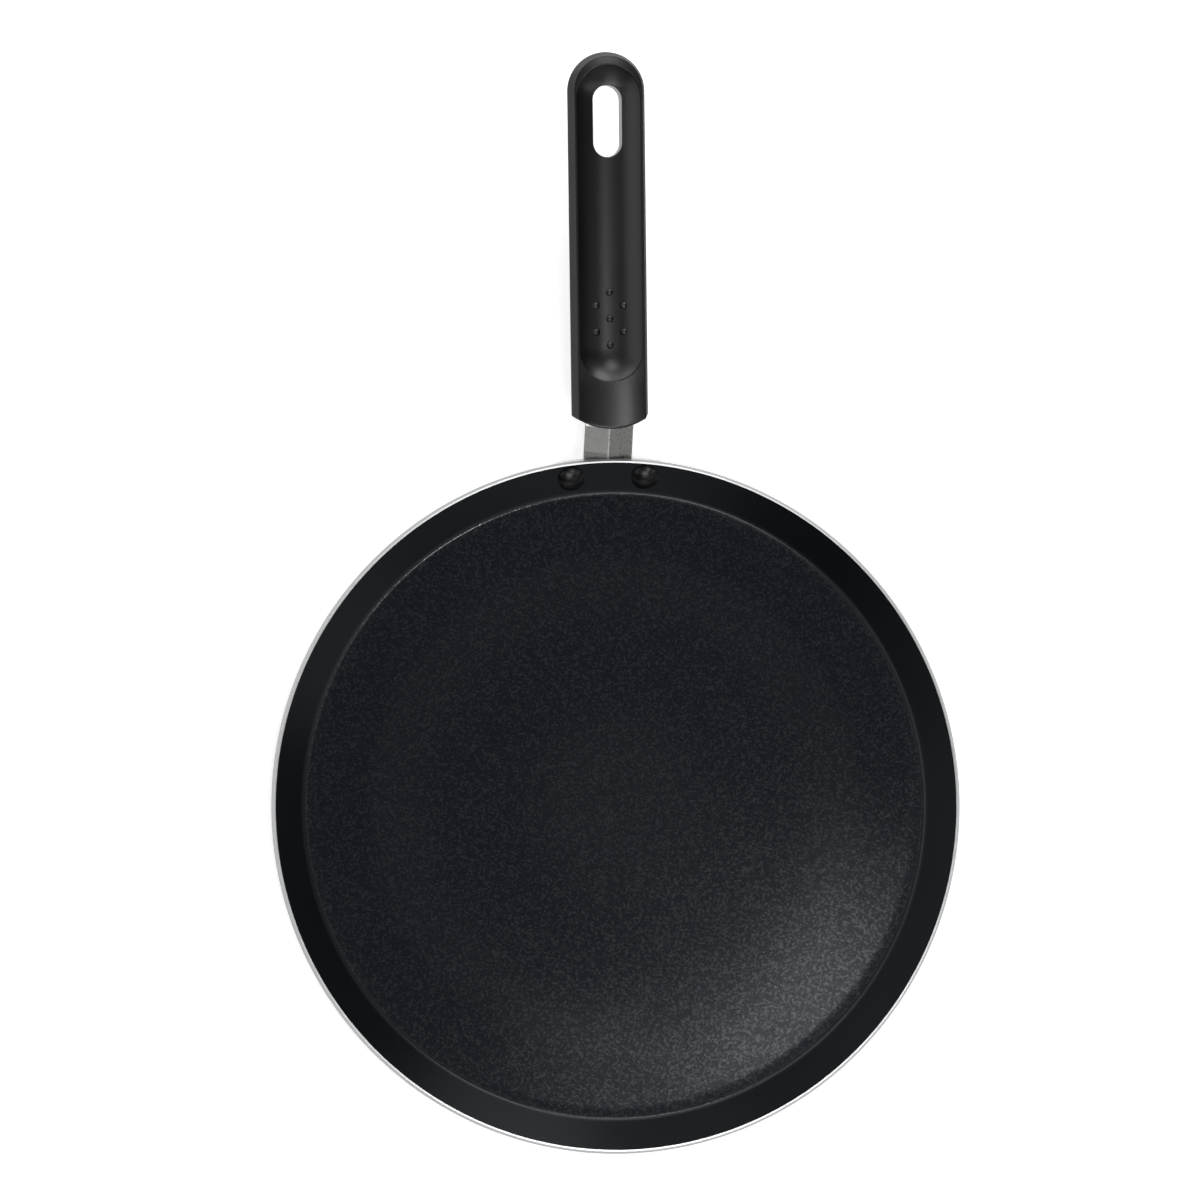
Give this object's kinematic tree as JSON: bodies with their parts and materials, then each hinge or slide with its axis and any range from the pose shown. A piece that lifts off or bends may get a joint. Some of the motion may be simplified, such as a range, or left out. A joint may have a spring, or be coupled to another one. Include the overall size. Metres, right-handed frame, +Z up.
{
  "type": "crepe pan",
  "caption": "Shallow round crepe pan with a low flared wall, a riveted pressed bracket and a long moulded grip with a dished panel and a hanging slot.",
  "frame": {"origin": "centre of the flat underside of the pan, on the surface that the pan stands on", "axes": "+Z up out of the pan, +Y along the handle away from the pan, +X across"},
  "size_m": [0.28, 0.4387, 0.0549],
  "materials": {
    "coated_sheet": "aluminium sheet with a dark speckled non-stick coating inside and a satin black coat outside, bare at the rim and underneath",
    "bracket_metal": "bare pressed metal, faintly mottled",
    "coated_rivet": "black coated domed rivet",
    "grip_moulding": "satin black moulded thermoset",
    "fixing_steel": "zinc-plated steel"
  },
  "bodies": {
    "root": {"pan_body": "coated_sheet", "handle_bracket": "bracket_metal", "rivet_left": "coated_rivet", "rivet_right": "coated_rivet", "handle_grip": "grip_moulding", "handle_screw": "fixing_steel", "lock_washer": "fixing_steel"}
  },
  "joints": []
}
